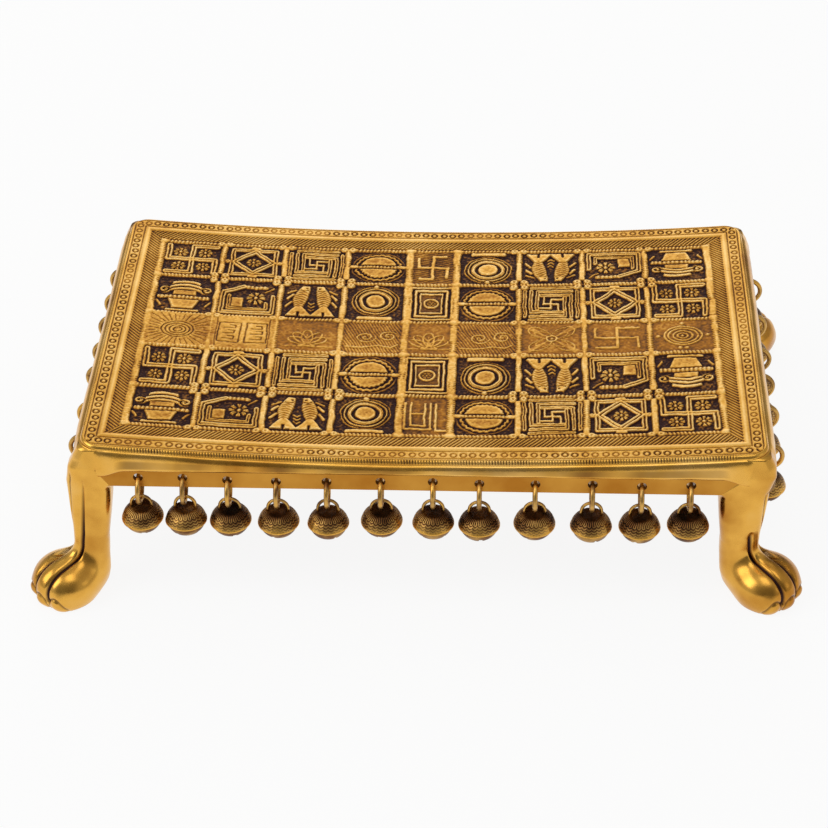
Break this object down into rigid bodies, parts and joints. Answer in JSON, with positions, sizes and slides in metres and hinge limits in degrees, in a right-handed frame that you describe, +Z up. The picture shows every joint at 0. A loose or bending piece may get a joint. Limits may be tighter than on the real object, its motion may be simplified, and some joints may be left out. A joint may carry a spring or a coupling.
{
  "type": "low brass bajot table",
  "caption": "Low rectangular brass stand with a dished, chased top, four splayed paw feet and small bells hung on rings along all four sides.",
  "frame": {"origin": "on the floor, under the middle of the top", "axes": "+X along the length of the top to the right, +Y to the back, +Z up"},
  "size_m": [0.3525, 0.2307, 0.0782],
  "materials": {
    "cast_brass": "cast and chased, polished on the raised work, dark patina in the ground",
    "polished_brass": "polished",
    "wire_brass": "drawn wire, lightly tarnished",
    "aged_brass": "dark patina, rubbed bright on the raised work"
  },
  "bodies": {
    "root": {"tabletop": "cast_brass", "front_left_leg": "polished_brass", "front_right_leg": "polished_brass", "rear_left_leg": "polished_brass", "rear_right_leg": "polished_brass"},
    "front_ring_01": {"front_ring_01": "wire_brass"},
    "front_bell_01": {"front_bell_01": "aged_brass"},
    "front_ring_02": {"front_ring_02": "wire_brass"},
    "front_bell_02": {"front_bell_02": "aged_brass"},
    "front_ring_03": {"front_ring_03": "wire_brass"},
    "front_bell_03": {"front_bell_03": "aged_brass"},
    "front_ring_04": {"front_ring_04": "wire_brass"},
    "front_bell_04": {"front_bell_04": "aged_brass"},
    "front_ring_05": {"front_ring_05": "wire_brass"},
    "front_bell_05": {"front_bell_05": "aged_brass"},
    "front_ring_06": {"front_ring_06": "wire_brass"},
    "front_bell_06": {"front_bell_06": "aged_brass"},
    "front_ring_07": {"front_ring_07": "wire_brass"},
    "front_bell_07": {"front_bell_07": "aged_brass"},
    "front_ring_08": {"front_ring_08": "wire_brass"},
    "front_bell_08": {"front_bell_08": "aged_brass"},
    "front_ring_09": {"front_ring_09": "wire_brass"},
    "front_bell_09": {"front_bell_09": "aged_brass"},
    "front_ring_10": {"front_ring_10": "wire_brass"},
    "front_bell_10": {"front_bell_10": "aged_brass"},
    "front_ring_11": {"front_ring_11": "wire_brass"},
    "front_bell_11": {"front_bell_11": "aged_brass"},
    "front_ring_12": {"front_ring_12": "wire_brass"},
    "front_bell_12": {"front_bell_12": "aged_brass"},
    "rear_hanger_01": {"rear_hanger_01": "aged_brass"},
    "rear_hanger_02": {"rear_hanger_02": "aged_brass"},
    "rear_hanger_03": {"rear_hanger_03": "aged_brass"},
    "rear_hanger_04": {"rear_hanger_04": "aged_brass"},
    "rear_hanger_05": {"rear_hanger_05": "aged_brass"},
    "rear_hanger_06": {"rear_hanger_06": "aged_brass"},
    "rear_hanger_07": {"rear_hanger_07": "aged_brass"},
    "rear_hanger_08": {"rear_hanger_08": "aged_brass"},
    "rear_hanger_09": {"rear_hanger_09": "aged_brass"},
    "rear_hanger_10": {"rear_hanger_10": "aged_brass"},
    "rear_hanger_11": {"rear_hanger_11": "aged_brass"},
    "rear_hanger_12": {"rear_hanger_12": "aged_brass"},
    "left_hanger_01": {"left_hanger_01": "aged_brass"},
    "left_hanger_02": {"left_hanger_02": "aged_brass"},
    "left_hanger_03": {"left_hanger_03": "aged_brass"},
    "left_hanger_04": {"left_hanger_04": "aged_brass"},
    "left_hanger_05": {"left_hanger_05": "aged_brass"},
    "left_hanger_06": {"left_hanger_06": "aged_brass"},
    "left_hanger_07": {"left_hanger_07": "aged_brass"},
    "right_hanger_01": {"right_hanger_01": "aged_brass"},
    "right_hanger_02": {"right_hanger_02": "aged_brass"},
    "right_hanger_03": {"right_hanger_03": "aged_brass"},
    "right_hanger_04": {"right_hanger_04": "aged_brass"},
    "right_hanger_05": {"right_hanger_05": "aged_brass"},
    "right_hanger_06": {"right_hanger_06": "aged_brass"}
  },
  "joints": [
    {"name": "front_ring_01_swing", "type": "hinge", "parent": "root", "child": "front_ring_01", "pos_m": [-0.12505, -0.09305, 0.05814], "axis": [-1, 0, 0], "range_deg": [-22, 40]},
    {"name": "front_bell_01_swing", "type": "hinge", "parent": "front_ring_01", "child": "front_bell_01", "pos_m": [-0.12505, -0.09305, 0.05103], "axis": [-1, 0, 0], "range_deg": [-40, 40]},
    {"name": "front_ring_02_swing", "type": "hinge", "parent": "root", "child": "front_ring_02", "pos_m": [-0.10537, -0.09305, 0.05831], "axis": [-1, 0, 0], "range_deg": [-35, 40]},
    {"name": "front_bell_02_swing", "type": "hinge", "parent": "front_ring_02", "child": "front_bell_02", "pos_m": [-0.10537, -0.09305, 0.0512], "axis": [-1, 0, 0], "range_deg": [-40, 40]},
    {"name": "front_ring_03_swing", "type": "hinge", "parent": "root", "child": "front_ring_03", "pos_m": [-0.0857, -0.09305, 0.0573], "axis": [-1, 0, 0], "range_deg": [-35, 40]},
    {"name": "front_bell_03_swing", "type": "hinge", "parent": "front_ring_03", "child": "front_bell_03", "pos_m": [-0.0857, -0.09305, 0.05019], "axis": [-1, 0, 0], "range_deg": [-40, 40]},
    {"name": "front_ring_04_swing", "type": "hinge", "parent": "root", "child": "front_ring_04", "pos_m": [-0.06423, -0.09305, 0.05696], "axis": [-1, 0, 0], "range_deg": [-35, 40]},
    {"name": "front_bell_04_swing", "type": "hinge", "parent": "front_ring_04", "child": "front_bell_04", "pos_m": [-0.06423, -0.09305, 0.04985], "axis": [-1, 0, 0], "range_deg": [-40, 40]},
    {"name": "front_ring_05_swing", "type": "hinge", "parent": "root", "child": "front_ring_05", "pos_m": [-0.04195, -0.09305, 0.0573], "axis": [-1, 0, 0], "range_deg": [-35, 40]},
    {"name": "front_bell_05_swing", "type": "hinge", "parent": "front_ring_05", "child": "front_bell_05", "pos_m": [-0.04195, -0.09305, 0.05019], "axis": [-1, 0, 0], "range_deg": [-40, 40]},
    {"name": "front_ring_06_swing", "type": "hinge", "parent": "root", "child": "front_ring_06", "pos_m": [-0.01825, -0.09305, 0.0578], "axis": [-1, 0, 0], "range_deg": [-35, 40]},
    {"name": "front_bell_06_swing", "type": "hinge", "parent": "front_ring_06", "child": "front_bell_06", "pos_m": [-0.01825, -0.09305, 0.05069], "axis": [-1, 0, 0], "range_deg": [-40, 40]},
    {"name": "front_ring_07_swing", "type": "hinge", "parent": "root", "child": "front_ring_07", "pos_m": [0.00472, -0.09305, 0.05806], "axis": [-1, 0, 0], "range_deg": [-35, 40]},
    {"name": "front_bell_07_swing", "type": "hinge", "parent": "front_ring_07", "child": "front_bell_07", "pos_m": [0.00472, -0.09305, 0.05094], "axis": [-1, 0, 0], "range_deg": [-40, 40]},
    {"name": "front_ring_08_swing", "type": "hinge", "parent": "root", "child": "front_ring_08", "pos_m": [0.02509, -0.09305, 0.05755], "axis": [-1, 0, 0], "range_deg": [-35, 40]},
    {"name": "front_bell_08_swing", "type": "hinge", "parent": "front_ring_08", "child": "front_bell_08", "pos_m": [0.02509, -0.09305, 0.05044], "axis": [-1, 0, 0], "range_deg": [-40, 40]},
    {"name": "front_ring_09_swing", "type": "hinge", "parent": "root", "child": "front_ring_09", "pos_m": [0.0496, -0.09305, 0.05764], "axis": [-1, 0, 0], "range_deg": [-35, 40]},
    {"name": "front_bell_09_swing", "type": "hinge", "parent": "front_ring_09", "child": "front_bell_09", "pos_m": [0.0496, -0.09305, 0.05052], "axis": [-1, 0, 0], "range_deg": [-40, 40]},
    {"name": "front_ring_10_swing", "type": "hinge", "parent": "root", "child": "front_ring_10", "pos_m": [0.07459, -0.09305, 0.05797], "axis": [-1, 0, 0], "range_deg": [-35, 40]},
    {"name": "front_bell_10_swing", "type": "hinge", "parent": "front_ring_10", "child": "front_bell_10", "pos_m": [0.07459, -0.09305, 0.05086], "axis": [-1, 0, 0], "range_deg": [-40, 40]},
    {"name": "front_ring_11_swing", "type": "hinge", "parent": "root", "child": "front_ring_11", "pos_m": [0.09609, -0.09305, 0.0573], "axis": [-1, 0, 0], "range_deg": [-35, 40]},
    {"name": "front_bell_11_swing", "type": "hinge", "parent": "front_ring_11", "child": "front_bell_11", "pos_m": [0.09609, -0.09305, 0.05019], "axis": [-1, 0, 0], "range_deg": [-40, 40]},
    {"name": "front_ring_12_swing", "type": "hinge", "parent": "root", "child": "front_ring_12", "pos_m": [0.11745, -0.09305, 0.05814], "axis": [-1, 0, 0], "range_deg": [-22, 40]},
    {"name": "front_bell_12_swing", "type": "hinge", "parent": "front_ring_12", "child": "front_bell_12", "pos_m": [0.11745, -0.09305, 0.05103], "axis": [-1, 0, 0], "range_deg": [-40, 40]},
    {"name": "rear_hanger_01_swing", "type": "hinge", "parent": "root", "child": "rear_hanger_01", "pos_m": [-0.12505, 0.09305, 0.05814], "axis": [1, 0, 0], "range_deg": [-22, 40]},
    {"name": "rear_hanger_02_swing", "type": "hinge", "parent": "root", "child": "rear_hanger_02", "pos_m": [-0.10537, 0.09305, 0.05831], "axis": [1, 0, 0], "range_deg": [-35, 40]},
    {"name": "rear_hanger_03_swing", "type": "hinge", "parent": "root", "child": "rear_hanger_03", "pos_m": [-0.0857, 0.09305, 0.0573], "axis": [1, 0, 0], "range_deg": [-35, 40]},
    {"name": "rear_hanger_04_swing", "type": "hinge", "parent": "root", "child": "rear_hanger_04", "pos_m": [-0.06423, 0.09305, 0.05696], "axis": [1, 0, 0], "range_deg": [-35, 40]},
    {"name": "rear_hanger_05_swing", "type": "hinge", "parent": "root", "child": "rear_hanger_05", "pos_m": [-0.04195, 0.09305, 0.0573], "axis": [1, 0, 0], "range_deg": [-35, 40]},
    {"name": "rear_hanger_06_swing", "type": "hinge", "parent": "root", "child": "rear_hanger_06", "pos_m": [-0.01825, 0.09305, 0.0578], "axis": [1, 0, 0], "range_deg": [-35, 40]},
    {"name": "rear_hanger_07_swing", "type": "hinge", "parent": "root", "child": "rear_hanger_07", "pos_m": [0.00472, 0.09305, 0.05806], "axis": [1, 0, 0], "range_deg": [-35, 40]},
    {"name": "rear_hanger_08_swing", "type": "hinge", "parent": "root", "child": "rear_hanger_08", "pos_m": [0.02509, 0.09305, 0.05755], "axis": [1, 0, 0], "range_deg": [-35, 40]},
    {"name": "rear_hanger_09_swing", "type": "hinge", "parent": "root", "child": "rear_hanger_09", "pos_m": [0.0496, 0.09305, 0.05764], "axis": [1, 0, 0], "range_deg": [-35, 40]},
    {"name": "rear_hanger_10_swing", "type": "hinge", "parent": "root", "child": "rear_hanger_10", "pos_m": [0.07459, 0.09305, 0.05797], "axis": [1, 0, 0], "range_deg": [-35, 40]},
    {"name": "rear_hanger_11_swing", "type": "hinge", "parent": "root", "child": "rear_hanger_11", "pos_m": [0.09609, 0.09305, 0.0573], "axis": [1, 0, 0], "range_deg": [-35, 40]},
    {"name": "rear_hanger_12_swing", "type": "hinge", "parent": "root", "child": "rear_hanger_12", "pos_m": [0.11745, 0.09305, 0.05814], "axis": [1, 0, 0], "range_deg": [-22, 40]},
    {"name": "left_hanger_01_swing", "type": "hinge", "parent": "root", "child": "left_hanger_01", "pos_m": [-0.1538, 0.06915, 0.05797], "axis": [0, 1, 0], "range_deg": [-22, 40]},
    {"name": "left_hanger_02_swing", "type": "hinge", "parent": "root", "child": "left_hanger_02", "pos_m": [-0.1538, 0.04903, 0.05747], "axis": [0, 1, 0], "range_deg": [-35, 40]},
    {"name": "left_hanger_03_swing", "type": "hinge", "parent": "root", "child": "left_hanger_03", "pos_m": [-0.1538, 0.02891, 0.0578], "axis": [0, 1, 0], "range_deg": [-35, 40]},
    {"name": "left_hanger_04_swing", "type": "hinge", "parent": "root", "child": "left_hanger_04", "pos_m": [-0.1538, 0.00878, 0.0573], "axis": [0, 1, 0], "range_deg": [-35, 40]},
    {"name": "left_hanger_05_swing", "type": "hinge", "parent": "root", "child": "left_hanger_05", "pos_m": [-0.1538, -0.01134, 0.05772], "axis": [0, 1, 0], "range_deg": [-35, 40]},
    {"name": "left_hanger_06_swing", "type": "hinge", "parent": "root", "child": "left_hanger_06", "pos_m": [-0.1538, -0.03897, 0.05747], "axis": [0, 1, 0], "range_deg": [-35, 40]},
    {"name": "left_hanger_07_swing", "type": "hinge", "parent": "root", "child": "left_hanger_07", "pos_m": [-0.1538, -0.06388, 0.05789], "axis": [0, 1, 0], "range_deg": [-22, 40]},
    {"name": "right_hanger_01_swing", "type": "hinge", "parent": "root", "child": "right_hanger_01", "pos_m": [0.1538, 0.06675, 0.05797], "axis": [0, -1, 0], "range_deg": [-22, 40]},
    {"name": "right_hanger_02_swing", "type": "hinge", "parent": "root", "child": "right_hanger_02", "pos_m": [0.1538, 0.03769, 0.05747], "axis": [0, -1, 0], "range_deg": [-35, 40]},
    {"name": "right_hanger_03_swing", "type": "hinge", "parent": "root", "child": "right_hanger_03", "pos_m": [0.1538, 0.01006, 0.0578], "axis": [0, -1, 0], "range_deg": [-35, 40]},
    {"name": "right_hanger_04_swing", "type": "hinge", "parent": "root", "child": "right_hanger_04", "pos_m": [0.1538, -0.01038, 0.0573], "axis": [0, -1, 0], "range_deg": [-35, 40]},
    {"name": "right_hanger_05_swing", "type": "hinge", "parent": "root", "child": "right_hanger_05", "pos_m": [0.1538, -0.03418, 0.05772], "axis": [0, -1, 0], "range_deg": [-35, 40]},
    {"name": "right_hanger_06_swing", "type": "hinge", "parent": "root", "child": "right_hanger_06", "pos_m": [0.1538, -0.06276, 0.05747], "axis": [0, -1, 0], "range_deg": [-22, 40]}
  ]
}
